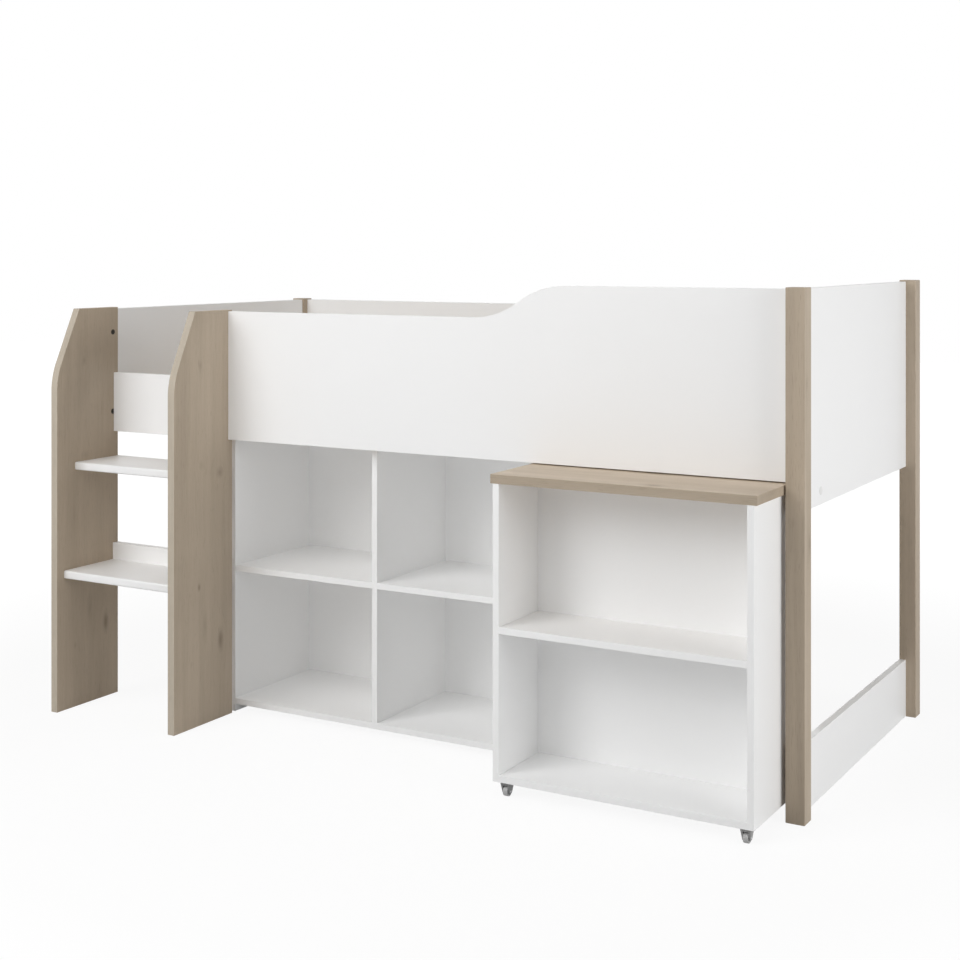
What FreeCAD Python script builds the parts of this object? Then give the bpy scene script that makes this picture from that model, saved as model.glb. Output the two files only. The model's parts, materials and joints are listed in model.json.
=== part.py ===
import FreeCAD, Part
import math
import os

Vector = FreeCAD.Vector

# Mid sleeper bed for a single mattress, with a ladder at its left end, a fixed bookcase under it
# and a desk on castors that rolls out beside the bookcase.
# Frame: +X to the right along the bed, +Y to the back, +Z up, origin on the floor under the middle
# of the bed's box. All sizes are in millimetres.

# Mattress and the room that the guards leave round it
mattress_length = 2000.0
mattress_width = 900.0
mattress_play = 10.0

# Boards and posts
post_side = 45.0
post_edge_radius = 2.0
panel_thickness = 18.0
stout_thickness = 22.0
carcass_thickness = 16.0
backing_thickness = 3.0

# Heights of the bed
low_height = 1107.0
guard_rise = 82.0
post_proud = 4.0
guard_bottom = 752.0
end_panel_bottom = 681.0
lower_rail_lift = 1.0
lower_rail_height = 154.0
entry_rail_height = 168.0

# How far the back posts stand inside the panels that meet them
left_post_lip = 5.0
back_post_lip = 20.0

# Rise of the front guard, from the low stretch by the ladder to the tall stretch by the right post
rise_run = 260.0
tall_stretch = 561.0

# Ladder
ladder_reach = 195.0
ladder_gap = 395.0
ladder_top_depth = 155.0
ladder_slope_drop = 184.0
ladder_corner_radius = 160.0
lower_tread_top = 386.0
lower_tread_setback = 26.0
upper_tread_top = 681.0
upper_tread_setback = 68.0
tread_nose_radius = 8.0
heel_board_rise = 47.0

# Slatted base
batten_lift = 2.0
batten_height = 44.0
batten_thickness = 18.0
slat_count = 14
slat_width = 70.0
slat_thickness = 14.0
slat_end_play = 3.0
slat_margin = 20.0

# Bookcase
bookcase_shift = 2.0
bookcase_width = 953.0
bookcase_depth = 345.0
bookcase_plinth = 20.0
cube_height = 350.0

# Desk, drawn in its pulled-out place
desk_pull = 170.0
desk_gap = 3.0
desk_headroom = 3.0
desk_depth = 370.0
desk_overhang = 7.0
desk_shelf_depth = 195.0
desk_shelf_height = 329.0

# Castors
castor_height = 33.0
castor_plate_side = 24.0
castor_plate_thickness = 2.0
castor_side_inset = 26.0
castor_shift = 5.0
castor_end_inset = 15.0
castor_foot_length = 13.0
castor_cheek = 2.2
castor_foot_lift = 6.0
wheel_radius = 12.0
wheel_width = 12.0
wheel_side_play = 0.5
wheel_top_play = 2.5
axle_radius = 2.0
axle_play = 0.06

# Cam locks that hold the panels to the posts and the ladder
cam_radius = 7.5
cam_depth = 12.5
cam_inset = 21.0
cam_play = 0.1
end_cam_low = 57.0
end_cam_high = 67.0
guard_cam_low = 90.0
guard_cam_high = 100.0

# Cover cap on the outside of the right end panel
cap_radius = 10.0
cap_thickness = 1.5
cap_from_post = 151.0
cap_above_edge = 32.0

# Reference planes worked out from the sizes above
inner_length = mattress_length + mattress_play
inner_width = mattress_width + mattress_play
bed_length = post_side + inner_length + post_side - left_post_lip
bed_depth = ladder_reach + post_side + inner_width + post_side - back_post_lip

right_out = bed_length / 2
right_in = right_out - post_side
left_in = right_in - inner_length
left_post_in = left_in + left_post_lip
left_post_out = left_post_in - post_side

ladder_front = -bed_depth / 2
post_front = ladder_front + ladder_reach
guard_in = post_front + post_side
guard_out = guard_in - panel_thickness
back_in = guard_in + inner_width
back_post_front = back_in - back_post_lip
back_post_back = back_post_front + post_side

ladder_left_out = left_in - stout_thickness
ladder_right_in = left_in + ladder_gap
ladder_right_out = ladder_right_in + stout_thickness

high_height = low_height + guard_rise
low_guard_top = low_height - post_proud
high_guard_top = high_height - post_proud
batten_bottom = guard_bottom + batten_lift
slat_bottom = batten_bottom + batten_height

axis_x = Vector(1, 0, 0)
axis_y = Vector(0, 1, 0)
axis_z = Vector(0, 0, 1)

parts = {}


def board(x0, x1, y0, y1, z0, z1):
    """A flat board between two corners."""
    return Part.makeBox(x1 - x0, y1 - y0, z1 - z0, Vector(x0, y0, z0))


def prism(edges, sweep):
    """A solid from a closed outline of edges, swept along a vector."""
    return Part.Face(Part.Wire(edges)).extrude(sweep)


def line(start, end):
    return Part.LineSegment(start, end).toShape()


def arc(start, middle, end):
    return Part.Arc(start, middle, end).toShape()


def post(x0, y0, height):
    """A square post with its four long edges softened."""
    solid = Part.makeBox(post_side, post_side, height, Vector(x0, y0, 0))
    upright = [e for e in solid.Edges if abs(e.tangentAt(e.FirstParameter).z) > 0.5]
    return solid.makeFillet(post_edge_radius, upright)


def front_guard():
    """The front panel: low beside the ladder, then up an S of two equal arcs to the tall stretch."""
    x0, x1 = ladder_right_out, right_in
    rise_end = right_in - tall_stretch
    rise_start = rise_end - rise_run
    rise_middle = (rise_start + rise_end) / 2
    radius = (rise_run ** 2 + guard_rise ** 2) / (4 * guard_rise)
    half_turn = math.atan(guard_rise / rise_run)
    side_step = radius * math.sin(half_turn)
    up_step = radius * (1 - math.cos(half_turn))

    def at(x, z):
        return Vector(x, guard_out, z)

    middle = at(rise_middle, low_guard_top + guard_rise / 2)
    low_end = at(rise_start, low_guard_top)
    high_end = at(rise_end, high_guard_top)
    outline = [
        line(at(x0, guard_bottom), at(x1, guard_bottom)),
        line(at(x1, guard_bottom), at(x1, high_guard_top)),
        line(at(x1, high_guard_top), high_end),
        arc(high_end, at(rise_end - side_step, high_guard_top - up_step), middle),
        arc(middle, at(rise_start + side_step, low_guard_top + up_step), low_end),
        line(low_end, at(x0, low_guard_top)),
        line(at(x0, low_guard_top), at(x0, guard_bottom)),
    ]
    return prism(outline, axis_y * panel_thickness)


def ladder_side(x0):
    """A tall ladder board whose front leans back near the top, with a large round at the turn."""
    lean = ladder_reach + post_side - ladder_top_depth
    turn = math.atan2(lean, ladder_slope_drop)
    reach = ladder_corner_radius * math.tan(turn / 2)
    corner_z = low_height - ladder_slope_drop

    def at(y, z):
        return Vector(x0, ladder_front + y, z)

    depth = ladder_reach + post_side
    arc_low = at(0, corner_z - reach)
    arc_high = at(reach * math.sin(turn), corner_z + reach * math.cos(turn))
    swing = ladder_corner_radius * (1 - math.cos(turn / 2))
    lift = ladder_corner_radius * math.sin(turn / 2)
    arc_middle = at(swing, corner_z - reach + lift)
    outline = [
        line(at(0, 0), at(depth, 0)),
        line(at(depth, 0), at(depth, low_height)),
        line(at(depth, low_height), at(lean, low_height)),
        line(at(lean, low_height), arc_high),
        arc(arc_high, arc_middle, arc_low),
        line(arc_low, at(0, 0)),
    ]
    return prism(outline, axis_x * stout_thickness)


def tread(y0, y1, top):
    """A ladder tread with its front edge rounded above and below."""
    solid = board(left_in, ladder_right_in, y0, y1, top - stout_thickness, top)
    along = [e for e in solid.Edges if abs(e.tangentAt(e.FirstParameter).x) > 0.5]
    nose = [e for e in along if e.CenterOfMass.y < (y0 + y1) / 2]
    return solid.makeFillet(tread_nose_radius, nose)


# Posts: two tall ones at the right end, a low one at the back left
parts["post_front_right"] = post(right_in, post_front, high_height)
parts["post_back_right"] = post(right_in, back_post_front, high_height)
parts["post_back_left"] = post(left_post_out, back_post_front, low_height)

# Guards and end panels
parts["front_guard_panel"] = front_guard()
parts["back_guard_panel"] = board(
    left_post_in, right_in, back_in, back_in + panel_thickness, guard_bottom, low_guard_top)
parts["end_panel_right"] = board(
    right_in, right_in + panel_thickness, guard_in, back_post_front, end_panel_bottom, high_guard_top)
parts["end_panel_left"] = board(
    left_in - panel_thickness, left_in, guard_in, back_post_front, guard_bottom, low_guard_top)
parts["end_rail_right"] = board(
    right_in, right_in + panel_thickness, guard_in, back_post_front,
    lower_rail_lift, lower_rail_lift + lower_rail_height)

# Ladder
parts["ladder_side_left"] = ladder_side(ladder_left_out)
parts["ladder_side_right"] = ladder_side(ladder_right_in)
parts["ladder_tread_lower"] = tread(
    ladder_front + lower_tread_setback, guard_in - stout_thickness, lower_tread_top)
parts["ladder_heel_board"] = board(
    left_in, ladder_right_in, guard_in - stout_thickness, guard_in,
    lower_tread_top - stout_thickness, lower_tread_top + heel_board_rise)
parts["ladder_tread_upper"] = tread(ladder_front + upper_tread_setback, guard_in, upper_tread_top)
parts["entry_rail"] = board(
    left_in, ladder_right_in, guard_out, guard_in, guard_bottom, guard_bottom + entry_rail_height)

# Slatted base on two battens
parts["slat_batten_front"] = board(
    left_in, right_in, guard_in, guard_in + batten_thickness, batten_bottom, slat_bottom)
parts["slat_batten_back"] = board(
    left_post_in, right_in, back_in - batten_thickness, back_in, batten_bottom, slat_bottom)
slat_pitch = (inner_length - 2 * slat_margin - slat_width) / (slat_count - 1)
for index in range(slat_count):
    slat_x = left_in + slat_margin + index * slat_pitch
    parts[f"slat_{index + 1:02d}"] = board(
        slat_x, slat_x + slat_width, guard_in + slat_end_play, back_in - slat_end_play,
        slat_bottom, slat_bottom + slat_thickness)

# Bookcase of four open cubes, standing on its sides behind the front batten
case_left = ladder_right_in + bookcase_shift
case_right = case_left + bookcase_width
case_inner_left = case_left + carcass_thickness
case_inner_right = case_right - carcass_thickness
case_middle = (case_left + case_right) / 2
case_divider_left = case_middle - carcass_thickness / 2
case_divider_right = case_middle + carcass_thickness / 2
case_front = guard_in + batten_thickness
case_back = case_front + bookcase_depth
case_floor = bookcase_plinth + carcass_thickness
case_shelf = case_floor + cube_height
case_ceiling = case_shelf + carcass_thickness + cube_height
case_top = case_ceiling + carcass_thickness


def case_board(x0, x1, z0, z1):
    return board(x0, x1, case_front, case_back, z0, z1)


parts["bookcase_side_left"] = case_board(case_left, case_inner_left, 0, case_top)
parts["bookcase_side_right"] = case_board(case_inner_right, case_right, 0, case_top)
parts["bookcase_bottom"] = case_board(case_inner_left, case_inner_right, bookcase_plinth, case_floor)
parts["bookcase_top"] = case_board(case_inner_left, case_inner_right, case_ceiling, case_top)
parts["bookcase_divider"] = case_board(case_divider_left, case_divider_right, case_floor, case_ceiling)
parts["bookcase_shelf_left"] = case_board(
    case_inner_left, case_divider_left, case_shelf, case_shelf + carcass_thickness)
parts["bookcase_shelf_right"] = case_board(
    case_divider_right, case_inner_right, case_shelf, case_shelf + carcass_thickness)
parts["bookcase_back"] = board(
    case_left, case_right, case_back, case_back + backing_thickness, bookcase_plinth, case_top)

# Desk: a thick top on two sides, two front shelves, a knee bay behind them
desk_top_left = case_right + desk_gap
desk_top_right = right_in - desk_gap
desk_left = desk_top_left + desk_overhang
desk_right = desk_top_right - desk_overhang
desk_inner_left = desk_left + carcass_thickness
desk_inner_right = desk_right - carcass_thickness
desk_front = post_front - desk_pull
desk_back = desk_front + desk_depth
desk_divide = desk_front + desk_shelf_depth
desk_top_z = guard_bottom - desk_headroom
desk_side_top = desk_top_z - stout_thickness
desk_floor = castor_height + carcass_thickness
desk_shelf = desk_floor + desk_shelf_height

parts["desk_top"] = board(desk_top_left, desk_top_right, desk_front, desk_back, desk_side_top, desk_top_z)
parts["desk_side_left"] = board(
    desk_left, desk_inner_left, desk_front, desk_back, castor_height, desk_side_top)
parts["desk_side_right"] = board(
    desk_inner_right, desk_right, desk_front, desk_back, castor_height, desk_side_top)
parts["desk_bottom"] = board(
    desk_inner_left, desk_inner_right, desk_front, desk_back, castor_height, desk_floor)
parts["desk_divider"] = board(
    desk_inner_left, desk_inner_right, desk_divide, desk_divide + carcass_thickness,
    desk_floor, desk_side_top)
parts["desk_shelf"] = board(
    desk_inner_left, desk_inner_right, desk_front, desk_divide,
    desk_shelf, desk_shelf + carcass_thickness)


wheel_slot = wheel_width + 2 * wheel_side_play
castor_foot_width = wheel_slot + 2 * castor_cheek


def castor_housing(x, y):
    """A plate with two cheeks under it that taper down beside the wheel and carry its axle."""
    plate_z = castor_height - castor_plate_thickness
    half = castor_plate_side / 2
    plate = board(x - half, x + half, y - half, y + half, plate_z, castor_height)
    foot_half = castor_foot_width / 2
    foot_reach = castor_foot_length / 2
    horn = Part.makeWedge(
        -half, 0, -half, -foot_reach, -foot_half, half, plate_z - castor_foot_lift, half,
        foot_reach, foot_half)
    horn.rotate(Vector(0, 0, 0), axis_x, -90)
    horn.translate(Vector(x, y, plate_z))
    slot_top = 2 * wheel_radius + wheel_top_play
    slot = board(
        x - wheel_slot / 2, x + wheel_slot / 2, y - castor_plate_side, y + castor_plate_side, 0, slot_top)
    axle_hole = Part.makeCylinder(
        axle_radius, castor_plate_side, Vector(x - half, y, wheel_radius), axis_x)
    return plate.fuse(horn).cut(slot).cut(axle_hole).removeSplitter()


def castor_wheel(x, y):
    """A small wheel with a plain bore."""
    hub_point = Vector(x - wheel_width / 2, y, wheel_radius)
    tread = Part.makeCylinder(wheel_radius, wheel_width, hub_point, axis_x)
    bore = Part.makeCylinder(axle_radius + axle_play, wheel_width, hub_point, axis_x)
    return tread.cut(bore)


def castor_axle(x, y):
    """The pin through both cheeks, as long as the cheeks are apart outside."""
    start = Vector(x - castor_foot_width / 2, y, wheel_radius)
    return Part.makeCylinder(axle_radius, castor_foot_width, start, axis_x)


castor_left = desk_left + castor_side_inset + castor_shift
castor_right = desk_right - castor_side_inset + castor_shift
castor_places = {
    "front_left": (castor_left, desk_front + castor_end_inset),
    "front_right": (castor_right, desk_front + castor_end_inset),
    "back_left": (castor_left, desk_back - castor_end_inset),
    "back_right": (castor_right, desk_back - castor_end_inset),
}
for corner, (castor_x, castor_y) in castor_places.items():
    parts[f"castor_housing_{corner}"] = castor_housing(castor_x, castor_y)
    parts[f"castor_wheel_{corner}"] = castor_wheel(castor_x, castor_y)
    parts[f"castor_axle_{corner}"] = castor_axle(castor_x, castor_y)

cams = []


def add_cam(holder, corner, face, out):
    """A round cam lock let into the holder's inner face, near the end that meets a post or a board.

    corner is on the inner face at the holder's end, face points out of the pocket, and out points
    past the holder's end.
    """
    centre = corner - out * cam_inset
    pocket = Part.makeCylinder(cam_radius + cam_play, cam_depth, centre, face * -1)
    parts[holder] = parts[holder].cut(pocket)
    cams.append(Part.makeCylinder(cam_radius, cam_depth, centre, face * -1))


low_guard_cams = (guard_bottom + guard_cam_low, low_guard_top - guard_cam_high)
high_guard_cams = (guard_bottom + guard_cam_low, high_guard_top - guard_cam_high)
left_end_cams = (guard_bottom + end_cam_low, low_guard_top - end_cam_high)
right_end_cams = (end_panel_bottom + end_cam_low, high_guard_top - end_cam_high)
entry_rail_middle = guard_bottom + entry_rail_height / 2
lower_rail_middle = lower_rail_lift + lower_rail_height / 2

for z in low_guard_cams:
    add_cam("front_guard_panel", Vector(ladder_right_out, guard_in, z), axis_y, axis_x * -1)
    add_cam("back_guard_panel", Vector(left_post_in, back_in, z), axis_y * -1, axis_x * -1)
    add_cam("back_guard_panel", Vector(right_in, back_in, z), axis_y * -1, axis_x)
for z in high_guard_cams:
    add_cam("front_guard_panel", Vector(right_in, guard_in, z), axis_y, axis_x)
for z in left_end_cams:
    add_cam("ladder_side_left", Vector(left_in, guard_in, z), axis_x, axis_y)
    add_cam("end_panel_left", Vector(left_in, back_post_front, z), axis_x, axis_y)
for z in right_end_cams:
    add_cam("end_panel_right", Vector(right_in, guard_in, z), axis_x * -1, axis_y * -1)
    add_cam("end_panel_right", Vector(right_in, back_post_front, z), axis_x * -1, axis_y)
add_cam("entry_rail", Vector(left_in, guard_in, entry_rail_middle), axis_y, axis_x * -1)
add_cam("entry_rail", Vector(ladder_right_in, guard_in, entry_rail_middle), axis_y, axis_x)
add_cam("end_rail_right", Vector(right_in, guard_in, lower_rail_middle), axis_x * -1, axis_y * -1)
add_cam("end_rail_right", Vector(right_in, back_post_front, lower_rail_middle), axis_x * -1, axis_y)
parts["cam_locks"] = Part.makeCompound(cams)

# Cover cap on the outside of the right end panel
cap_point = Vector(
    right_in + panel_thickness, guard_in + cap_from_post, end_panel_bottom + cap_above_edge)
parts["end_panel_cap"] = Part.makeCylinder(cap_radius, cap_thickness, cap_point, axis_x)

os.makedirs("parts", exist_ok=True)
for name, shape in parts.items():
    shape.exportStep(f"parts/{name}.step")
print(len(parts), "parts written")
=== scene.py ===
import json
import math

import bmesh
import bpy
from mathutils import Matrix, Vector

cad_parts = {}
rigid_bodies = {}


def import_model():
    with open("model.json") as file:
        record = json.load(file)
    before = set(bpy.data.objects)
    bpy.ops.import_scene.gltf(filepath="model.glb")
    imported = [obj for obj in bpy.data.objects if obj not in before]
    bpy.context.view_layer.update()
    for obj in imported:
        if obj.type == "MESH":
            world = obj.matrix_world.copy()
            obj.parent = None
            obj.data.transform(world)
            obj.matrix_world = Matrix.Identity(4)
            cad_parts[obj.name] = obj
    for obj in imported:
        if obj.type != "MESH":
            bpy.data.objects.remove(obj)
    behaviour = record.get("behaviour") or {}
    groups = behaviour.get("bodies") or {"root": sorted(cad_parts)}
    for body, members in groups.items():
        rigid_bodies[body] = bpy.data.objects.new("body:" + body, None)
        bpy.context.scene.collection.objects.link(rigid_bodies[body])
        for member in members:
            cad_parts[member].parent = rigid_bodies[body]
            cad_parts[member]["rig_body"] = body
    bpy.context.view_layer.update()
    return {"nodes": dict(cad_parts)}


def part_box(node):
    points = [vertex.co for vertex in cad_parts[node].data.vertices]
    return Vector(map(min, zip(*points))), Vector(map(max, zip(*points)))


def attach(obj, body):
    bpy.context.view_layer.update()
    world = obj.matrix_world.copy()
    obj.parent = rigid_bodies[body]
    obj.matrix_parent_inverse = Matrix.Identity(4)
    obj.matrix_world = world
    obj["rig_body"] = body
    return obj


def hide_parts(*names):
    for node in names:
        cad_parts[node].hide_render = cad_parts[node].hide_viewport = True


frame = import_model()
print("frame loaded:", len(frame["nodes"]), "nodes")

tiny = 1e-5   # metres: two points closer than this are one


# Node helpers

def addNode(tree, kind, **values):
    node = tree.nodes.new(kind)
    for key, value in values.items():
        setattr(node, key, value)
    return node


def feed(tree, socket, value):
    # an output is linked to the socket, and a number, colour or vector is set on it
    if isinstance(value, bpy.types.NodeSocket):
        tree.links.new(value, socket)
    else:
        socket.default_value = value


def combine(tree, operation, a, b):
    node = addNode(tree, "ShaderNodeMath", operation=operation)
    feed(tree, node.inputs[0], a)
    feed(tree, node.inputs[1], b)
    return node.outputs[0]


def vectorMath(tree, operation, *values):
    node = addNode(tree, "ShaderNodeVectorMath", operation=operation)
    for socket, value in zip(node.inputs, values):
        feed(tree, socket, value)
    return node


def remap(tree, value, limits):
    # limits are low, high, new low and new high
    node = addNode(tree, "ShaderNodeMapRange", clamp=True)
    feed(tree, node.inputs[0], value)
    for index, number in enumerate(limits, start=1):
        feed(tree, node.inputs[index], number)
    return node.outputs[0]


def mixColour(tree, share, a, b):
    # a Mix node has its two colours at 6 and 7, and its mixed colour at 2
    node = addNode(tree, "ShaderNodeMix", data_type="RGBA")
    for index, value in ((0, share), (6, a), (7, b)):
        feed(tree, node.inputs[index], value)
    return node.outputs[2]


def stretched(tree, vector, scale):
    # squeezes the coordinates, so that a texture runs long on one axis
    return vectorMath(tree, "MULTIPLY", vector, scale).outputs[0]


def noise(tree, vector, look):
    node = addNode(tree, "ShaderNodeTexNoise")
    feed(tree, node.inputs["Scale"], 1.0)
    feed(tree, node.inputs["Detail"], look["detail"])
    feed(tree, node.inputs["Roughness"], look["rough"])
    feed(tree, node.inputs["Vector"], stretched(tree, vector, look["scale"]))
    return node


# Camera, lamps, floor and world

cameraSetup = {
    "lens": 59.53,
    "sensor": 36.0,
    "place": (2.1759, -3.7834, 1.2752),
    "turn": 29.97,        # degrees to the left of straight ahead
    "shiftDown": 0.2412,  # keeps the uprights parallel
}
lampSetup = {
    "frontLamp": {"place": (-2.4, -5.0, 3.2), "aim": (-0.3, 0.0, 0.7), "size": (3.0, 2.4), "power": 104.0},
    "nearLamp": {"place": (-0.6, -2.6, 3.4), "aim": (-0.2, 0.0, 0.6), "size": (2.2, 1.4), "power": 35.5},
    "lowLamp": {"place": (-0.6, -3.0, 0.6), "aim": (-0.2, 0.0, 0.45), "size": (2.0, 0.8), "power": 5.2},
    "deskLamp": {"place": (0.9, -3.2, 2.4), "aim": (0.5, -0.3, 0.7), "size": (1.8, 1.0), "power": 8.5},
    "rightLamp": {"place": (4.6, -0.6, 1.4), "aim": (0.9, 0.1, 0.6), "size": (2.6, 2.2), "power": 89.0},
    "backLamp": {"place": (-2.2, 4.8, 0.85), "aim": (-0.2, 0.3, 0.6), "size": (2.6, 1.2), "power": 80.0},
    "wellLamp": {"place": (0.0, 1.4, 3.0), "aim": (0.0, -0.4, 0.9), "size": (1.6, 0.8), "power": 8.0},
}
worldSetup = {
    "colour": (1, 1, 1, 1),
    "ambient": 0.18,    # lights the bed
    "backdrop": 1.0,    # what the camera sees
    "bounces": 24,      # pale boxes pass light on many times
}
floorSetup = {
    "reach": 14.0,
    "tone": (0.65, 0.65, 0.65, 1),
    "white": 1.06,
    "shadowShare": 0.15,                # the shadow shows near the bed
    "fadeFrom": 1.5, "fadeTo": 3.2,     # and far floor fades to white
}


def addCamera(setup):
    data = bpy.data.cameras.new("photoCamera")
    data.sensor_width = setup["sensor"]
    data.lens = setup["lens"]
    data.shift_y = -setup["shiftDown"]
    camera = bpy.data.objects.new("photoCamera", data)
    camera.location = setup["place"]
    camera.rotation_euler = (math.radians(90), 0, math.radians(setup["turn"]))
    bpy.context.scene.collection.objects.link(camera)
    bpy.context.scene.camera = camera


def addLamp(name, setup):
    data = bpy.data.lights.new(name, "AREA")
    data.shape = "RECTANGLE"
    data.size, data.size_y = setup["size"]
    data.energy = setup["power"]
    lamp = bpy.data.objects.new(name, data)
    lamp.location = setup["place"]
    heading = Vector(setup["aim"]) - Vector(setup["place"])
    lamp.rotation_euler = heading.to_track_quat("-Z", "Y").to_euler()
    lamp.visible_camera = False
    bpy.context.scene.collection.objects.link(lamp)


def seenByEye(tree):
    # camera, glossy and transmission rays all meet the white studio
    path = addNode(tree, "ShaderNodeLightPath")
    seen = combine(tree, "MAXIMUM", path.outputs["Is Camera Ray"], path.outputs["Is Glossy Ray"])
    return combine(tree, "MAXIMUM", seen, path.outputs["Is Transmission Ray"])


def showMix(tree, share, lit, shown, outKind):
    # the first shader takes part in the lighting, and the second is what the eye meets
    mix = addNode(tree, "ShaderNodeMixShader")
    for socket, source in zip(mix.inputs, (share, lit, shown)):
        feed(tree, socket, source)
    out = addNode(tree, outKind)
    feed(tree, out.inputs["Surface"], mix.outputs[0])


def addWorld(setup):
    scene = bpy.context.scene
    scene.cycles.max_bounces = setup["bounces"]
    scene.cycles.diffuse_bounces = setup["bounces"]
    scene.world = bpy.data.worlds.new("studio")
    scene.world.use_nodes = True
    tree = scene.world.node_tree
    tree.nodes.clear()
    skies = []
    for strength in (setup["ambient"], setup["backdrop"]):
        sky = addNode(tree, "ShaderNodeBackground")
        feed(tree, sky.inputs["Strength"], strength)
        feed(tree, sky.inputs["Color"], setup["colour"])
        skies.append(sky.outputs[0])
    showMix(tree, seenByEye(tree), *skies, "ShaderNodeOutputWorld")


def addFloor(setup):
    bm = bmesh.new()
    bmesh.ops.create_grid(bm, x_segments=1, y_segments=1, size=setup["reach"])
    mesh = bpy.data.meshes.new("studioFloor")
    bm.to_mesh(mesh)
    bm.free()
    floor = bpy.data.objects.new("studioFloor", mesh)
    bpy.context.scene.collection.objects.link(floor)
    material = bpy.data.materials.new("paleFloor")
    material.use_nodes = True
    tree = material.node_tree
    tree.nodes.clear()
    paint = addNode(tree, "ShaderNodeBsdfDiffuse")
    feed(tree, paint.inputs["Color"], setup["tone"])
    glow = addNode(tree, "ShaderNodeEmission")
    feed(tree, glow.inputs["Strength"], setup["white"])
    coords = addNode(tree, "ShaderNodeTexCoord")
    far = vectorMath(tree, "LENGTH", coords.outputs["Object"]).outputs["Value"]
    fade = remap(tree, far, (setup["fadeFrom"], setup["fadeTo"], 1.0 - setup["shadowShare"], 1.0))
    share = combine(tree, "MULTIPLY", seenByEye(tree), fade)
    showMix(tree, share, paint.outputs[0], glow.outputs[0], "ShaderNodeOutputMaterial")
    mesh.materials.append(material)


bpy.context.scene.view_settings.view_transform = "Standard"
addCamera(cameraSetup)
for lampName, setup in lampSetup.items():
    addLamp(lampName, setup)
addWorld(worldSetup)
addFloor(floorSetup)
print("studio ready")


# Shared effects

grainLook = {
    "sway": {"scale": (5.0, 5.0, 1.6), "detail": 2.0, "rough": 0.5},
    "swayReach": (0.035, 0.035, 0.0),
    "patch": {"scale": (8.0, 8.0, 2.4), "detail": 3.0, "rough": 0.5, "limits": (0.3, 0.7, 0.0, 0.3)},
    "broad": {"scale": (17.0, 17.0, 0.8), "detail": 3.0, "rough": 0.55, "limits": (0.32, 0.68, 0.0, 0.42)},
    "streak": {"scale": (60.0, 60.0, 1.5), "detail": 4.0, "rough": 0.55, "limits": (0.33, 0.7, 0.0, 0.19)},
    "fine": {"scale": (260.0, 260.0, 5.0), "detail": 3.0, "rough": 0.6, "limits": (0.35, 0.7, 0.0, 0.13)},
    "pores": {"scale": (900.0, 900.0, 26.0), "detail": 2.0, "rough": 0.5, "limits": (0.6, 0.7, 0.0, 0.3)},
    "knotsAcross": 13.0, "knotsAlong": 4.4,    # cells in a metre
    "knotPick": (0.62, 0.68, 0.0, 1.0),        # which cells carry a knot
    "knotSize": (0.0, 1.0, 0.45, 1.2),
    "knotHalo": (0.05, 0.3, 0.6, 0.0),
    "knotCore": (0.03, 0.12, 0.7, 0.0),
    "placedCore": (0.35, 1.0, 0.0, 0.65),
    "fineHeight": 0.4,
    "roughness": (0.0, 1.0, 0.46, 0.6),
}
pressLook = {
    "gritDetail": 2.0,
    "cloud": {"scale": (3.0, 3.0, 3.0), "detail": 3.0, "rough": 0.55, "limits": (0.3, 0.7, 0.0, 1.0)},
    "cloudTone": (0.55, 0.54, 0.52, 1),
    "roughness": (0.3, 0.7, 0.36, 0.48),
}


def newGroup(name, inputs):
    group = bpy.data.node_groups.new(name, "ShaderNodeTree")
    for label, kind in inputs.items():
        group.interface.new_socket(label, in_out="INPUT", socket_type="NodeSocket" + kind)
    for label, kind in (("Color", "Color"), ("Height", "Float"), ("Roughness", "Float")):
        group.interface.new_socket(label, in_out="OUTPUT", socket_type="NodeSocket" + kind)
    return group, addNode(group, "NodeGroupInput").outputs, addNode(group, "NodeGroupOutput").inputs


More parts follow.
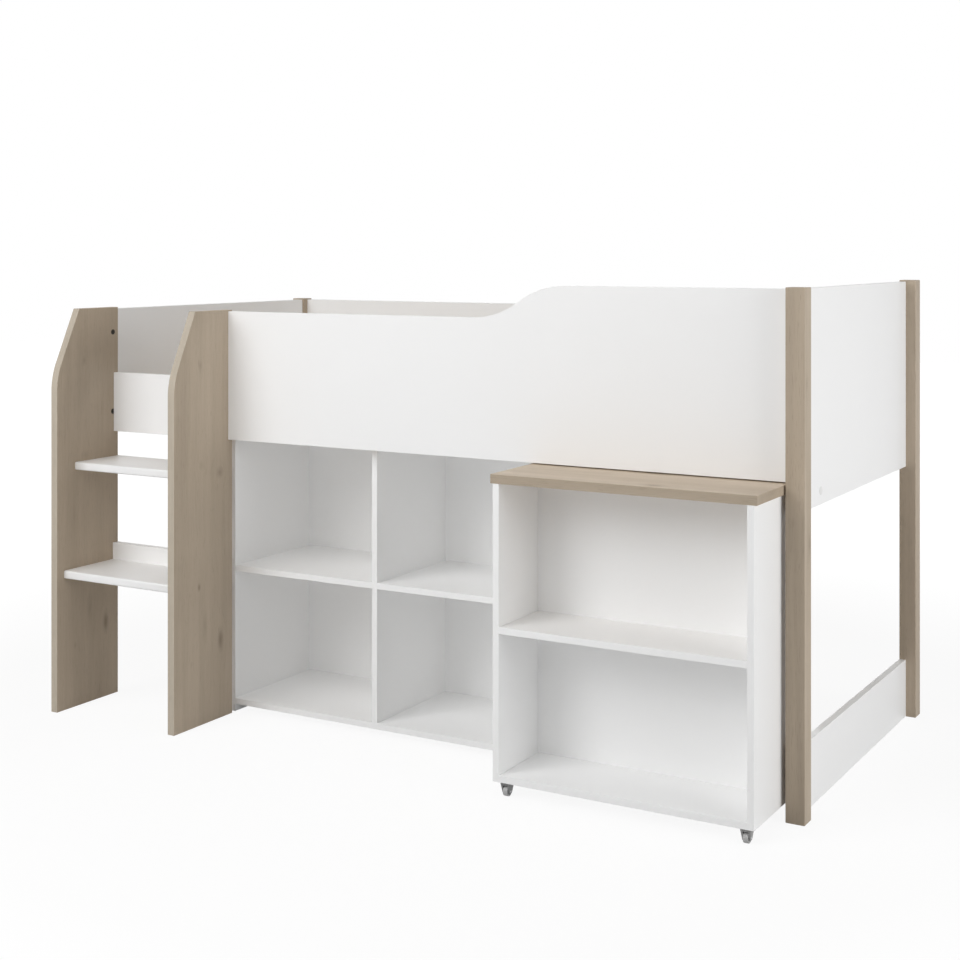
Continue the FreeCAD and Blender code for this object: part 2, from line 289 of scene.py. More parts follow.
def makeGrainGroup(look):
    # grain runs along Z: soft patches and bands, long streaks, short pores and a few knots
    group, given, made = newGroup("woodGrain", {
        "Vector": "Vector", "Pale": "Color", "Deep": "Color", "Pore": "Color",
        "Knots": "Float", "Placed Knots": "Float"})
    # a slow sway, so that no streak is ruler straight
    sway = noise(group, given["Vector"], look["sway"]).outputs["Color"]
    centred = vectorMath(group, "SUBTRACT", sway, (0.5, 0.5, 0.5)).outputs[0]
    wavy = vectorMath(group, "MULTIPLY_ADD", centred, look["swayReach"], given["Vector"]).outputs[0]
    # knots: a small dark core inside a long soft halo, laid out flat on whichever side face shows
    flat = addNode(group, "ShaderNodeSeparateXYZ")
    feed(group, flat.inputs[0], wavy)
    across = combine(group, "ADD", flat.outputs["X"], flat.outputs["Y"])
    spots = addNode(group, "ShaderNodeCombineXYZ")
    feed(group, spots.inputs["X"], combine(group, "MULTIPLY", across, look["knotsAcross"]))
    feed(group, spots.inputs["Y"], combine(group, "MULTIPLY", flat.outputs["Z"], look["knotsAlong"]))
    cells = addNode(group, "ShaderNodeTexVoronoi", feature="F1", voronoi_dimensions="2D")
    feed(group, cells.inputs["Scale"], 1.0)
    feed(group, cells.inputs["Vector"], spots.outputs[0])
    drawn = addNode(group, "ShaderNodeSeparateColor")
    feed(group, drawn.inputs[0], cells.outputs["Color"])
    chosen = combine(group, "MULTIPLY", remap(group, drawn.outputs[0], look["knotPick"]), given["Knots"])
    knotSize = remap(group, drawn.outputs[1], look["knotSize"])
    reach = combine(group, "DIVIDE", cells.outputs["Distance"], knotSize)
    placed = given["Placed Knots"]
    halo = combine(group, "MULTIPLY", remap(group, reach, look["knotHalo"]), chosen)
    halo = combine(group, "MAXIMUM", halo, placed)
    core = combine(group, "MULTIPLY", remap(group, reach, look["knotCore"]), chosen)
    core = combine(group, "MAXIMUM", core, remap(group, placed, look["placedCore"]))
    # the patches lie still, and the finer layers sway
    raw, shares = {}, {}
    for layer in ("patch", "broad", "streak", "fine", "pores"):
        under = given["Vector"] if layer == "patch" else wavy
        raw[layer] = noise(group, under, look[layer]).outputs["Fac"]
        shares[layer] = remap(group, raw[layer], look[layer]["limits"])
    bands = shares["patch"]
    for layer in ("broad", "streak", "fine"):
        bands = combine(group, "ADD", bands, shares[layer])
    tone = mixColour(group, combine(group, "ADD", bands, halo), given["Pale"], given["Deep"])
    darker = combine(group, "MAXIMUM", shares["pores"], core)
    feed(group, made["Color"], mixColour(group, darker, tone, given["Pore"]))
    ridges = combine(group, "MULTIPLY", raw["fine"], look["fineHeight"])
    feed(group, made["Height"], combine(group, "SUBTRACT", ridges, shares["pores"]))
    feed(group, made["Roughness"], remap(group, bands, look["roughness"]))
    return group


def makePressGroup(look):
    # fine press texture of a melamine face, with a faint cloudiness
    group, given, made = newGroup("pressedFace", {
        "Vector": "Vector", "Tint": "Color", "Pitch": "Float", "Cloud": "Float"})
    grit = addNode(group, "ShaderNodeTexNoise")
    feed(group, grit.inputs["Detail"], look["gritDetail"])
    feed(group, grit.inputs["Vector"], given["Vector"])
    feed(group, grit.inputs["Scale"], given["Pitch"])
    cloud = noise(group, given["Vector"], look["cloud"]).outputs["Fac"]
    shade = combine(group, "MULTIPLY", remap(group, cloud, look["cloud"]["limits"]), given["Cloud"])
    feed(group, made["Color"], mixColour(group, shade, given["Tint"], look["cloudTone"]))
    feed(group, made["Height"], grit.outputs["Fac"])
    feed(group, made["Roughness"], remap(group, grit.outputs["Fac"], look["roughness"]))
    return group


grainGroup = makeGrainGroup(grainLook)
pressGroup = makePressGroup(pressLook)


# Finishes

woodLooks = {
    "oak": {"pale": (0.509, 0.422, 0.325, 1), "deep": (0.367, 0.299, 0.224, 1),
            "pore": (0.179, 0.136, 0.099, 1), "knots": 0.45, "bump": 0.0004, "strength": 0.3},
    "oakLadder": {"pale": (0.541, 0.449, 0.346, 1), "deep": (0.39, 0.318, 0.238, 1),
                  "pore": (0.19, 0.145, 0.105, 1), "knots": 0.0, "bump": 0.0004, "strength": 0.3},
    # the desk top's edge faces: a darker copy of the oak, painted shade
    "oakEdgePaintedShade": {"pale": (0.476, 0.395, 0.304, 1), "deep": (0.343, 0.28, 0.209, 1),
                "pore": (0.167, 0.128, 0.092, 1), "knots": 0.45, "bump": 0.0004, "strength": 0.3},
    "oakEdge": {"pale": (0.57, 0.506, 0.419, 1), "deep": (0.432, 0.373, 0.294, 1),
                "pore": (0.276, 0.221, 0.166, 1), "knots": 0.0, "bump": 0.0003, "strength": 0.2},
    # the desk top's upper face: a lighter copy of the oak, painted light from above
    "oakTopPaintedLight": {"pale": (0.683, 0.572, 0.452, 1), "deep": (0.499, 0.41, 0.31, 1),
               "pore": (0.263, 0.2, 0.142, 1), "knots": 0.7, "bump": 0.0004, "strength": 0.3},
    "slatWood": {"pale": (0.72, 0.57, 0.38, 1), "deep": (0.58, 0.42, 0.25, 1),
                 "pore": (0.38, 0.25, 0.14, 1), "knots": 0.5, "bump": 0.0006, "strength": 0.4},
}
pressedLooks = {
    "whiteFace": {"tint": (0.92, 0.92, 0.918, 1), "pitch": 650.0, "cloud": 0.015, "bump": 0.00012},
    "capWhite": {"tint": (0.83, 0.83, 0.82, 1), "pitch": 1500.0, "cloud": 0.02, "bump": 0.00006},
    "housingGrey": {"tint": (0.185, 0.185, 0.188, 1), "pitch": 1800.0, "cloud": 0.25, "bump": 0.0001},
    "treadGrey": {"tint": (0.42, 0.42, 0.42, 1), "pitch": 1400.0, "cloud": 0.2, "bump": 0.00008},
}
metalLooks = {
    "zincSteel": {"tint": (0.62, 0.62, 0.63, 1), "roughness": (0.28, 0.42)},
    "darkZinc": {"tint": (0.075, 0.068, 0.06, 1), "roughness": (0.45, 0.6)},
    # near black: painted shade for the recess of a cross slot
    "slotPaintedShade": {"tint": (0.02, 0.02, 0.02, 1), "roughness": (0.6, 0.8)},
}
metalScratch = {
    "scale": (900.0, 900.0, 120.0), "detail": 3.0, "rough": 0.6,
    "limits": (0.3, 0.7), "shade": 0.8,
}
sheen = {"wood": 0.35, "pressed": 0.4}
pressedStrength = 0.5

# knots of the ladder boards: place on the board, size and depth of tone
ladderKnots = [
    {"y": -0.398, "z": 0.213, "wide": 0.030, "long": 0.084, "dark": 0.85},
    {"y": -0.401, "z": 0.667, "wide": 0.038, "long": 0.040, "dark": 0.55},
    {"y": -0.477, "z": 0.695, "wide": 0.030, "long": 0.034, "dark": 0.35},
    {"y": -0.487, "z": 0.370, "wide": 0.016, "long": 0.030, "dark": 0.80},
    {"y": -0.463, "z": 0.262, "wide": 0.026, "long": 0.110, "dark": 0.40},
    {"y": -0.518, "z": 0.171, "wide": 0.014, "long": 0.024, "dark": 0.35},
    {"y": -0.483, "z": 0.961, "wide": 0.020, "long": 0.036, "dark": 0.40},
]
# reaches are shares of a knot's own half size
knotShape = {"soft": (0.1, 1.0), "bow": 0.7, "bowReach": 2.4}


def startMaterial(name):
    material = bpy.data.materials.new(name)
    material.use_nodes = True
    tree = material.node_tree
    tree.nodes.clear()
    shader = addNode(tree, "ShaderNodeBsdfPrincipled")
    out = addNode(tree, "ShaderNodeOutputMaterial")
    feed(tree, out.inputs["Surface"], shader.outputs[0])
    coords = addNode(tree, "ShaderNodeTexCoord")
    return material, tree, shader, coords.outputs["Object"]


def applyGroup(tree, shader, group, bump, strength, gloss):
    # colour, roughness and bump of a shader come from the group
    feed(tree, shader.inputs["Base Color"], group.outputs["Color"])
    feed(tree, shader.inputs["Roughness"], group.outputs["Roughness"])
    shader.inputs["Specular IOR Level"].default_value = gloss
    relief = addNode(tree, "ShaderNodeBump")
    feed(tree, relief.inputs["Distance"], bump)
    feed(tree, relief.inputs["Strength"], strength)
    feed(tree, relief.inputs["Height"], group.outputs["Height"])
    feed(tree, shader.inputs["Normal"], relief.outputs[0])


def placeKnots(tree, coords, knots, shape):
    # soft ovals at chosen places on an upright board, and grain that bows round them
    mask, bowed = 0.0, coords
    for knot in knots:
        away = vectorMath(tree, "SUBTRACT", coords, (0.0, knot["y"], knot["z"])).outputs[0]
        oval = stretched(tree, away, (0.0, 2.0 / knot["wide"], 2.0 / knot["long"]))
        far = vectorMath(tree, "LENGTH", oval).outputs["Value"]
        mask = combine(tree, "MAXIMUM", mask, remap(tree, far, shape["soft"] + (knot["dark"], 0.0)))
        pull = vectorMath(tree, "SCALE", stretched(tree, away, (0.0, -shape["bow"], 0.0)))
        feed(tree, pull.inputs["Scale"], remap(tree, far, (0.0, shape["bowReach"], 1.0, 0.0)))
        bowed = vectorMath(tree, "ADD", bowed, pull.outputs[0]).outputs[0]
    return mask, bowed


def makeWood(name, look, turn=(0, 0, 0), knots=()):
    # turn lays the grain along a piece, and knots sit where they are placed
    material, tree, shader, coords = startMaterial(name)
    grain = addNode(tree, "ShaderNodeGroup", node_tree=grainGroup)
    if knots:
        mask, coords = placeKnots(tree, coords, knots, knotShape)
        feed(tree, grain.inputs["Placed Knots"], mask)
    mapping = addNode(tree, "ShaderNodeMapping")
    feed(tree, mapping.inputs["Rotation"], [math.radians(angle) for angle in turn])
    feed(tree, mapping.inputs["Vector"], coords)
    feed(tree, grain.inputs["Vector"], mapping.outputs[0])
    for label in ("Pale", "Deep", "Pore", "Knots"):
        feed(tree, grain.inputs[label], look[label.lower()])
    applyGroup(tree, shader, grain, look["bump"], look["strength"], sheen["wood"])
    return material


def makePressed(name):
    look = pressedLooks[name]
    material, tree, shader, coords = startMaterial(name)
    face = addNode(tree, "ShaderNodeGroup", node_tree=pressGroup)
    feed(tree, face.inputs["Vector"], coords)
    for label in ("Tint", "Pitch", "Cloud"):
        feed(tree, face.inputs[label], look[label.lower()])
    applyGroup(tree, shader, face, look["bump"], pressedStrength, sheen["pressed"])
    return material


def makeMetal(name):
    look = metalLooks[name]
    material, tree, shader, coords = startMaterial(name)
    scratch = noise(tree, coords, metalScratch).outputs["Fac"]
    worn = tuple(metalScratch["shade"] * part for part in look["tint"][:3]) + (1,)
    feed(tree, shader.inputs["Roughness"], remap(tree, scratch, metalScratch["limits"] + look["roughness"]))
    feed(tree, shader.inputs["Base Color"], mixColour(tree, scratch, look["tint"], worn))
    shader.inputs["Metallic"].default_value = 1.0
    return material


oakUpright = makeWood("oakUpright", woodLooks["oak"])
oakLadder = makeWood("oakLadder", woodLooks["oakLadder"], knots=ladderKnots)
oakEdge = makeWood("oakEdge", woodLooks["oakEdge"])
# the desk top's two oaks: a darker copy for its edges as painted shade, and a lighter copy for its top as
# painted light
oakEdgePaintedShade = makeWood("oakEdgePaintedShade", woodLooks["oakEdgePaintedShade"], turn=(0, 90, 0))
oakTopPaintedLight = makeWood("oakTopPaintedLight", woodLooks["oakTopPaintedLight"], turn=(0, 90, 0))
slatAcross = makeWood("slatAcross", woodLooks["slatWood"], turn=(90, 0, 0))
slatAlong = makeWood("slatAlong", woodLooks["slatWood"], turn=(0, 90, 0))
whiteFace = makePressed("whiteFace")
capWhite = makePressed("capWhite")
housingGrey = makePressed("housingGrey")
treadGrey = makePressed("treadGrey")
zincSteel = makeMetal("zincSteel")
darkZinc = makeMetal("darkZinc")
# the near-black cross material is painted shade for slot recesses
slotPaintedShade = makeMetal("slotPaintedShade")
print("finishes ready")


# Helpers for the pieces

def finishPiece(name, bm, material, body, nodes=(), smoothAngle=None):
    bmesh.ops.recalc_face_normals(bm, faces=bm.faces)
    mesh = bpy.data.meshes.new(name)
    bm.to_mesh(mesh)
    bm.free()
    mesh.materials.append(material)
    if smoothAngle is not None:
        mesh.shade_smooth()
        mesh.set_sharp_from_angle(angle=math.radians(smoothAngle))
    piece = bpy.data.objects.new(name, mesh)
    bpy.context.scene.collection.objects.link(piece)
    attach(piece, body)
    if nodes:
        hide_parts(*nodes)
    return piece


def bodyOf(node):
    return frame["nodes"][node]["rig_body"]


def addBlock(bm, low, high):
    made = bmesh.ops.create_cube(bm, size=1.0)["verts"]
    low, high = Vector(low), Vector(high)
    bmesh.ops.scale(bm, vec=high - low, verts=made)
    bmesh.ops.translate(bm, vec=(low + high) / 2, verts=made)
    return made


def soften(bm, edges, width, segments):
    bmesh.ops.bevel(bm, geom=list(edges), offset=width, offset_type="OFFSET", segments=segments,
                    profile=0.5, affect="EDGES", material=-1, clamp_overlap=True)


def softenSharp(bm, look):
    # eases every edge that turns by more than the look's sharp angle
    limit = math.radians(look["sharpAngle"])
    sharp = [edge for edge in bm.edges if edge.calc_face_angle(0) > limit]
    soften(bm, sharp, look["edge"], look["edgeSteps"])


def pick(items, kind):
    return [item for item in items if isinstance(item, kind)]


def liesAt(edge, axis, value):
    # axes count from 0: X, Y, Z
    return all(abs(vert.co[axis] - value) < tiny for vert in edge.verts)


def isLevel(edge, axis):
    return abs(edge.verts[0].co[axis] - edge.verts[1].co[axis]) < tiny


# Flat boards

slatNodes = [name for name in sorted(frame["nodes"])
             if name.startswith("slat_") and "batten" not in name]
boardLooks = {
    "whiteBoards": {
        "material": whiteFace, "slot": "white_board", "edge": 0.0008, "edgeSteps": 2,
        "nodes": ["back_guard_panel", "end_panel_right", "end_panel_left", "end_rail_right", "entry_rail",
                  "ladder_heel_board"],
    },
    "carcassBoards": {
        "material": whiteFace, "slot": "white_board", "edge": 0.0006, "edgeSteps": 2,
        "nodes": ["bookcase_side_left", "bookcase_side_right", "bookcase_bottom", "bookcase_top",
                  "bookcase_divider", "bookcase_shelf_left", "bookcase_shelf_right", "bookcase_back",
                  "desk_side_left", "desk_side_right", "desk_bottom", "desk_divider", "desk_shelf"],
    },
    "posts": {
        "material": oakUpright, "slot": "oak_board", "edge": 0.0018, "edgeSteps": 3,
        "nodes": ["post_front_right", "post_back_right", "post_back_left"],
    },
    "battens": {
        "material": slatAlong, "slot": "slat_wood", "edge": 0.0015, "edgeSteps": 2,
        "nodes": ["slat_batten_front", "slat_batten_back"],
    },
    "slats": {
        "material": slatAcross, "slot": "slat_wood", "edge": 0.003, "edgeSteps": 3,
        "nodes": slatNodes,
    },
}


def makeBoard(node, look):
    bm = bmesh.new()
    addBlock(bm, *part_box(node))
    soften(bm, bm.edges, look["edge"], look["edgeSteps"])
    return finishPiece(node + "_board", bm, look["material"], bodyOf(node), [node])


for look in boardLooks.values():
    for node in look["nodes"]:
        makeBoard(node, look)
print("flat boards made")


# Desk top: the top face is a lighter oak, painted light from above, and its edge faces are a darker oak,
# painted shade

deskTop = {"material": oakTopPaintedLight, "slot": "oak_board", "edge": 0.0012, "edgeSteps": 3}
# on the ladder the chosen sides carry edge banding, and on the desk top they carry painted shade
finishTilt = 0.5   # faces turned this far towards a banded side carry its finish


def bandAndShadeFaces(piece, secondFinish, takesSecondFinish):
    # a second finish on chosen faces: edge banding on the ladder sides, and painted shade on the desk top's
    # edges
    piece.data.materials.append(secondFinish)
    for face in piece.data.polygons:
        if takesSecondFinish(face.normal):
            face.material_index = 1


# the edge faces take the darker oak, painted shade
bandAndShadeFaces(makeBoard("desk_top", deskTop), oakEdgePaintedShade, lambda normal: abs(normal.z) < finishTilt)
print("desk top made")


# Ladder sides: a block, cut back along the lean, with a large round at the turn

ladderSide = {
    "topDepth": 0.155, "slopeDrop": 0.184, "cornerRadius": 0.16, "cornerSteps": 14,
    "edge": 0.0012, "edgeSteps": 2, "sharpAngle": 20,
}


def makeLadderSide(node, look):
    low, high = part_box(node)
    bm = bmesh.new()
    addBlock(bm, low, high)
    lean = high.y - low.y - look["topDepth"]
    turn = math.atan2(lean, look["slopeDrop"])
    corner = Vector((low.x, low.y, high.z - look["slopeDrop"]))
    cut = bmesh.ops.bisect_plane(
        bm, geom=bm.verts[:] + bm.edges[:] + bm.faces[:], dist=tiny, plane_co=corner,
        plane_no=(0, -math.cos(turn), math.sin(turn)), clear_outer=True)
    bmesh.ops.edgeloop_fill(bm, edges=pick(cut["geom_cut"], bmesh.types.BMEdge))
    turnEdges = [edge for edge in bm.edges if liesAt(edge, 1, corner.y) and liesAt(edge, 2, corner.z)]
    soften(bm, turnEdges, look["cornerRadius"] * math.tan(turn / 2), look["cornerSteps"])
    softenSharp(bm, look)
    side = finishPiece(node + "_board", bm, oakLadder, bodyOf(node), [node])
    bandAndShadeFaces(side, oakEdge, lambda normal: normal.y < -finishTilt)


# Treads: a board with a rounded nose

ladderTread = {
    "nose": 0.0045, "noseSteps": 8,
    "edge": 0.0008, "edgeSteps": 2, "sharpAngle": 40, "smoothAngle": 25,
}


def makeTread(node, look):
    low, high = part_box(node)
    bm = bmesh.new()
    addBlock(bm, low, high)
    nose = [edge for edge in bm.edges if liesAt(edge, 1, low.y) and isLevel(edge, 2)]
    soften(bm, nose, look["nose"], look["noseSteps"])
    softenSharp(bm, look)
    finishPiece(node + "_board", bm, whiteFace, bodyOf(node), [node],
                smoothAngle=look["smoothAngle"])


for node in ("ladder_side_left", "ladder_side_right"):
    makeLadderSide(node, ladderSide)
for node in ("ladder_tread_lower", "ladder_tread_upper"):
    makeTread(node, ladderTread)
print("ladder made")


# Front guard: the low edge climbs through two equal arcs to the tall stretch

frontGuard = {
    "riseRun": 0.260, "tallStretch": 0.561, "rise": 0.082, "arcSteps": 18,
    "edge": 0.0008, "edgeSteps": 2, "sharpAngle": 30,
}


def makeFrontGuard(look):
    low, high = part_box("front_guard_panel")
    rise, run = look["rise"], look["riseRun"]
    radius = (run ** 2 + rise ** 2) / (4 * rise)
    sweep = 2 * math.atan(rise / run)
    riseEnd = high.x - look["tallStretch"]
    riseStart = riseEnd - run
    lowTop = high.z - rise
    bm = bmesh.new()
    start = bm.verts.new((riseStart, low.y, lowTop))
    tip = [start]
    # the first arc bends up, and the second bends level again
    for centre, axis in (((riseStart, low.y, lowTop + radius), (0, -1, 0)),
                         ((riseEnd, low.y, high.z - radius), (0, 1, 0))):
        arc = bmesh.ops.spin(bm, geom=tip, cent=centre, axis=axis, angle=sweep,
                             steps=look["arcSteps"], use_duplicate=False)
        tip = pick(arc["geom_last"], bmesh.types.BMVert)
    corners = [bm.verts.new((x, low.y, z)) for x, z in
               ((high.x, high.z), (high.x, low.z), (low.x, low.z), (low.x, lowTop))]
    chain = tip + corners + [start]
    for a, b in zip(chain, chain[1:]):
        bm.edges.new((a, b))
    bmesh.ops.edgeloop_fill(bm, edges=bm.edges)
    grown = bmesh.ops.extrude_face_region(bm, geom=bm.faces[:])["geom"]
    bmesh.ops.translate(bm, vec=(0, high.y - low.y, 0), verts=pick(grown, bmesh.types.BMVert))
    bmesh.ops.recalc_face_normals(bm, faces=bm.faces)
    softenSharp(bm, look)
    finishPiece("front_guard_panel_board", bm, whiteFace, bodyOf("front_guard_panel"),
                ["front_guard_panel"])


makeFrontGuard(frontGuard)
print("front guard made")


# Cam locks: a raised disc with a rim, and in its sunk middle a near-black cross, painted shade for the
# cross slot

camLock = {
    "proud": 0.0005, "sunk": 0.002, "rim": 0.0014, "dip": 0.0003, "sides": 28, "smoothAngle": 30,
    "crossLong": 0.0042, "crossWide": 0.0011,
}
discSteps = ((0.3, 0.0), (0.7, 0.0), (0.2, 1.0))      # shares of the rim from outside in, and of the dip
crossLayer = {"under": 0.0002, "over": 0.00006}       # a cross lies just proud of the disc


def walk(start):
    # every vertex of the piece that one vertex belongs to
    found, queue = {start}, [start]
    while queue:
        for edge in queue.pop().link_edges:
            for vert in edge.verts:
                if vert not in found:
                    found.add(vert)
                    queue.append(vert)
    return list(found)


def islandBoxes(node):
    # one box for each separate solid of a node
    shown = frame["nodes"][node]
    bm = bmesh.new()
    bm.from_mesh(shown.data)
    bm.transform(shown.matrix_world)
    bmesh.ops.remove_doubles(bm, verts=bm.verts, dist=tiny)
    left, boxes = set(bm.verts), []
    while left:
        island = walk(next(iter(left)))
        left.difference_update(island)
        places = [vert.co for vert in island]
        boxes.append((Vector(map(min, zip(*places))), Vector(map(max, zip(*places)))))
    bm.free()
    return sorted(boxes, key=lambda box: tuple(round(value, 4) for value in box[0]))


def moveTo(bm, verts, place, facing):
    # parts are drawn looking up, then turned to face along an axis
    spin = Vector((0, 0, 1)).rotation_difference(Vector(facing)).to_matrix()
    bmesh.ops.rotate(bm, cent=(0, 0, 0), matrix=spin, verts=verts)
    bmesh.ops.translate(bm, vec=place, verts=verts)


def addDisc(bm, radius, look, place, facing):
    # a short round stud with an eased rim and a sunk middle
    made = bmesh.ops.create_circle(bm, cap_ends=True, radius=radius, segments=look["sides"])["verts"]
    bmesh.ops.translate(bm, vec=(0, 0, -look["sunk"]), verts=made)
    grown = bmesh.ops.extrude_face_region(bm, geom=[made[0].link_faces[0]])["geom"]
    top = pick(grown, bmesh.types.BMFace)[0]
    bmesh.ops.translate(bm, vec=(0, 0, look["proud"] + look["sunk"]), verts=top.verts)
    for rimShare, dipShare in discSteps:
        bmesh.ops.inset_region(bm, faces=[top], thickness=look["rim"] * rimShare,
                               depth=-look["dip"] * dipShare)
    moveTo(bm, walk(top.verts[0]), place, facing)


# the cross is a thin near-black sheet, painted shade where a cut slot would be
def addCross(bm, look, place, facing):
    floor = look["proud"] - look["dip"]
    low, high = floor - crossLayer["under"], floor + crossLayer["over"]
    size, wide = look["crossLong"], look["crossWide"] / 2
    bars = addBlock(bm, (-size, -wide, low), (size, wide, high))
    bars += addBlock(bm, (-wide, -size, low), (wide, size, high))
    moveTo(bm, bars, place, facing)


def makeStuds(name, places, radius, look, material, body, nodes=()):
    # many studs in one piece, and in another their near-black crosses, painted shade for the cross slots
    studs, crosses = bmesh.new(), bmesh.new()
    for place, facing in places:
        addDisc(studs, radius, look, place, facing)
        addCross(crosses, look, place, facing)
    finishPiece(name, studs, material, body, nodes, smoothAngle=look["smoothAngle"])
    finishPiece(name + "_painted_slot_shade", crosses, slotPaintedShade, body)


def makeCams(look):
    places = []
    for low, high in islandBoxes("cam_locks"):
        size, centre = high - low, (low + high) / 2
        axis = min(range(2), key=lambda index: size[index])
        facing = Vector((0, 0, 0))
        facing[axis] = -math.copysign(1, centre[axis])   # towards the middle of the bed
        places.append((centre + facing * size[axis] / 2, facing))
        radius = size.z / 2                              # all locks are one size
    makeStuds("cam_lock_discs", places, radius, look, darkZinc,
              bodyOf("cam_locks"), ["cam_locks"])
    print("cam locks:", len(places))


makeCams(camLock)


# Cover cap: a low dome on the outside of the right end panel

coverCap = {
    # shares of the rise and the radius
    "profile": ((0.0, 1.0), (0.45, 1.0), (0.75, 0.94), (0.92, 0.8), (1.0, 0.55), (1.0, 0.0)),
    "steps": 32, "smoothAngle": 40,
}


def spinAboutX(bm, centre, points, steps, closed):
    # points are (along X, radius), turned once round
    wire = [bm.verts.new(centre + Vector((x, -radius, 0))) for x, radius in points]
    ends = wire[1:] + wire[:1] if closed else wire[1:]
    edges = [bm.edges.new(pair) for pair in zip(wire, ends)]
    bmesh.ops.spin(bm, geom=wire + edges, cent=centre, axis=(1, 0, 0), angle=math.tau, steps=steps,
                   use_merge=True, use_duplicate=False)
    bmesh.ops.remove_doubles(bm, verts=bm.verts, dist=tiny)


def makeCap(look):
    low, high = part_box("end_panel_cap")
    centre = Vector((low.x, (low.y + high.y) / 2, (low.z + high.z) / 2))
    radius, rise = (high.z - low.z) / 2, high.x - low.x
    bm = bmesh.new()
    spinAboutX(bm, centre, [(x * rise, r * radius) for x, r in look["profile"]], look["steps"], False)
    finishPiece("end_panel_cap_dome", bm, capWhite, bodyOf("end_panel_cap"),
                ["end_panel_cap"], smoothAngle=look["smoothAngle"])


makeCap(coverCap)
print("cover cap made")


# Castors: a plate over two tapering cheeks, a crowned wheel and a riveted pin

castor = {
    "plate": 0.002, "cheek": 0.0022, "slot": 0.013, "slotTop": 0.0265,
    "footLift": 0.006, "footLength": 0.013, "footRound": 0.003, "footSteps": 5,
    "edge": 0.0005, "edgeSteps": 2, "sharpAngle": 35, "smoothAngle": 30,
    # left half of the wheel's outline, as shares of its half width and radius
    "wheel": ((-1.0, 0.2), (-1.0, 0.42), (-0.86, 0.47), (-0.86, 0.74), (-1.0, 0.79), (-1.0, 0.93),
              (-0.95, 0.975), (-0.84, 0.995), (-0.6, 1.0)),
    "wheelSteps": 44,
    # left half of the pin's outline, in metres
    "rivet": ((-0.0101, 0.0), (-0.0101, 0.0016), (-0.0098, 0.0023), (-0.0093, 0.0026), (-0.008, 0.0026),
              (-0.008, 0.0019)),
    "rivetSteps": 24,
}


def bothHalves(points):
    return list(points) + [(-x, radius) for x, radius in reversed(points)]


def addTaper(bm, footX, topX, footY, topY, footZ, topZ):
    # a block whose foot and top differ in size
    made = addBlock(bm, (footX[0], -footY, footZ), (footX[1], footY, topZ))
    for vert in made:
        if vert.co.z > (footZ + topZ) / 2:
            vert.co.x = topX[0] if vert.co.x < sum(footX) / 2 else topX[1]
            vert.co.y = math.copysign(topY, vert.co.y)
    return made


def makeHousing(node, look):
    low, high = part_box(node)
    half, topZ = (high.x - low.x) / 2, high.z
    plateZ, lift = topZ - look["plate"], look["footLift"]
    foot, inner = look["footLength"] / 2, look["slot"] / 2
    bm = bmesh.new()
    addBlock(bm, (-half, -half, plateZ), (half, half, topZ))
    crownShare = (look["slotTop"] - lift) / (plateZ - lift)
    crownHalf = foot + (half - foot) * crownShare
    addTaper(bm, (-inner, inner), (-inner, inner), crownHalf, half, look["slotTop"], plateZ)
    for side in (-1, 1):
        footX = sorted((side * inner, side * (inner + look["cheek"])))
        topX = sorted((side * inner, side * half))
        cheek = set(addTaper(bm, footX, topX, foot, half, lift, plateZ))
        toes = [edge for edge in bm.edges
                if cheek.issuperset(edge.verts) and liesAt(edge, 2, lift) and isLevel(edge, 1)]
        soften(bm, toes, look["footRound"], look["footSteps"])
    softenSharp(bm, look)
    centre = (low + high) / 2
    bmesh.ops.translate(bm, vec=(centre.x, centre.y, 0), verts=bm.verts)
    finishPiece(node + "_horn", bm, housingGrey, bodyOf(node), [node],
                smoothAngle=look["smoothAngle"])


def makeWheel(node, look):
    low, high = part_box(node)
    radius, half = (high.z - low.z) / 2, (high.x - low.x) / 2
    outline = [(x * half, r * radius) for x, r in bothHalves(look["wheel"])]
    bm = bmesh.new()
    spinAboutX(bm, (low + high) / 2, outline, look["wheelSteps"], True)
    finishPiece(node + "_tyre", bm, treadGrey, bodyOf(node), [node],
                smoothAngle=look["smoothAngle"])


def makePin(node, look):
    low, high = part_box(node)
    bm = bmesh.new()
    spinAboutX(bm, (low + high) / 2, bothHalves(look["rivet"]), look["rivetSteps"], False)
    finishPiece(node + "_pin", bm, zincSteel, bodyOf(node), [node], smoothAngle=look["smoothAngle"])


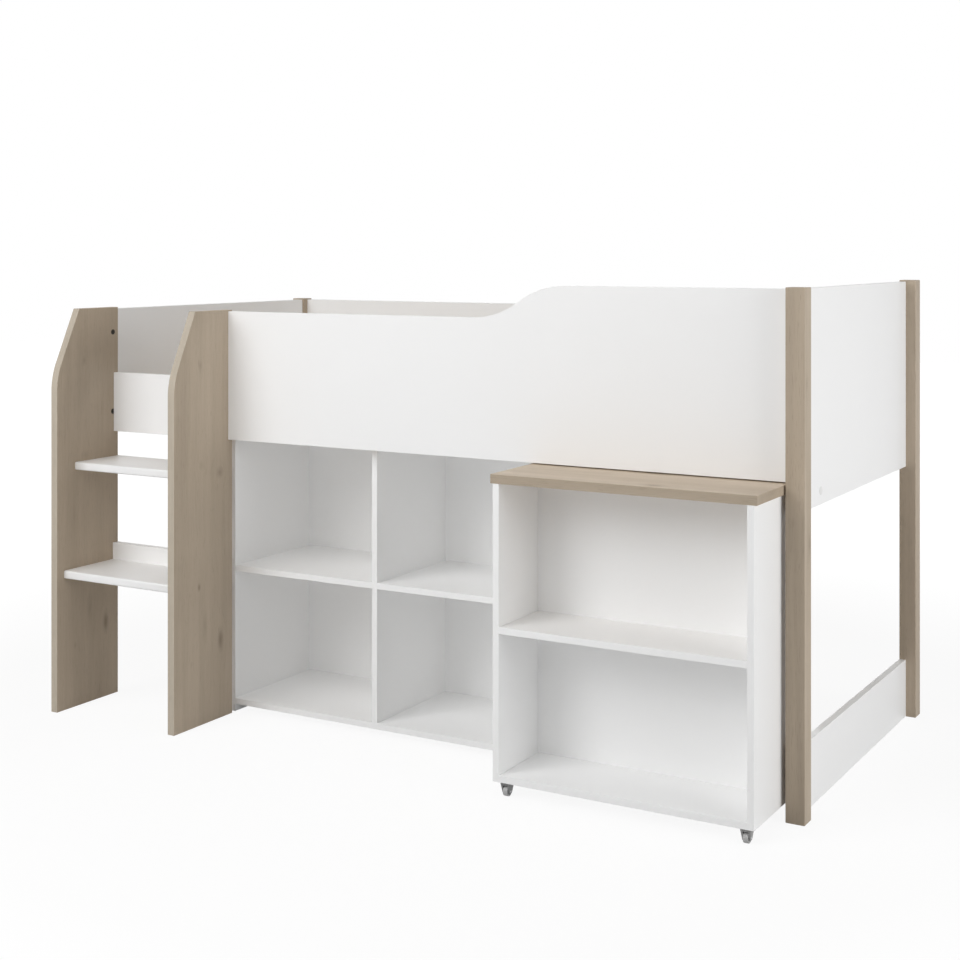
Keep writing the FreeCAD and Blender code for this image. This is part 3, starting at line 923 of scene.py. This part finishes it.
for corner in ("front_left", "front_right", "back_left", "back_right"):
    makeHousing("castor_housing_" + corner, castor)
    makeWheel("castor_wheel_" + corner, castor)
    makePin("castor_axle_" + corner, castor)
print("castors made")


# Screws of the slatted base and pins of the bookcase back

baseScrew = {
    "proud": 0.0003, "sunk": 0.002, "rim": 0.0008, "dip": 0.0002, "sides": 16, "smoothAngle": 30,
    "crossLong": 0.0018, "crossWide": 0.0006, "radius": 0.0034,
    "fromEnd": 0.009, "battenCount": 7, "battenInset": 0.09,
}
backPin = {
    "proud": 0.0004, "sunk": 0.001, "rim": 0.0006, "dip": 0.0001, "sides": 12, "smoothAngle": 30,
    "radius": 0.0019, "edge": 0.008, "across": 8, "up": 6,
}


def spread(first, last, count):
    return [first + (last - first) * index / (count - 1) for index in range(count)]


def makeBaseScrews(look):
    places = []
    for node in slatNodes:
        low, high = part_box(node)
        x = (low.x + high.x) / 2
        for y in (low.y + look["fromEnd"], high.y - look["fromEnd"]):
            places.append((Vector((x, y, high.z)), (0, 0, 1)))
    for node, facing in (("slat_batten_front", (0, 1, 0)), ("slat_batten_back", (0, -1, 0))):
        low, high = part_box(node)
        y = high.y if facing[1] > 0 else low.y
        z = (low.z + high.z) / 2
        for x in spread(low.x + look["battenInset"], high.x - look["battenInset"], look["battenCount"]):
            places.append((Vector((x, y, z)), facing))
    makeStuds("base_screws", places, look["radius"], look, zincSteel, bodyOf("slat_batten_front"))
    print("base screws:", len(places))


def makeBackPins(look):
    low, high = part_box("bookcase_back")
    edge = look["edge"]
    columns = spread(low.x + edge, high.x - edge, look["across"])
    rows = spread(low.z + edge, high.z - edge, look["up"])
    spots = [(x, z) for x in columns for z in (rows[0], rows[-1])]
    spots += [(x, z) for z in rows[1:-1] for x in (columns[0], (low.x + high.x) / 2, columns[-1])]
    bm = bmesh.new()
    for x, z in spots:
        addDisc(bm, look["radius"], look, Vector((x, high.y, z)), (0, 1, 0))
    finishPiece("bookcase_back_pins", bm, zincSteel, bodyOf("bookcase_back"),
                smoothAngle=look["smoothAngle"])
    print("back pins:", len(spots))


makeBaseScrews(baseScrew)
makeBackPins(backPin)
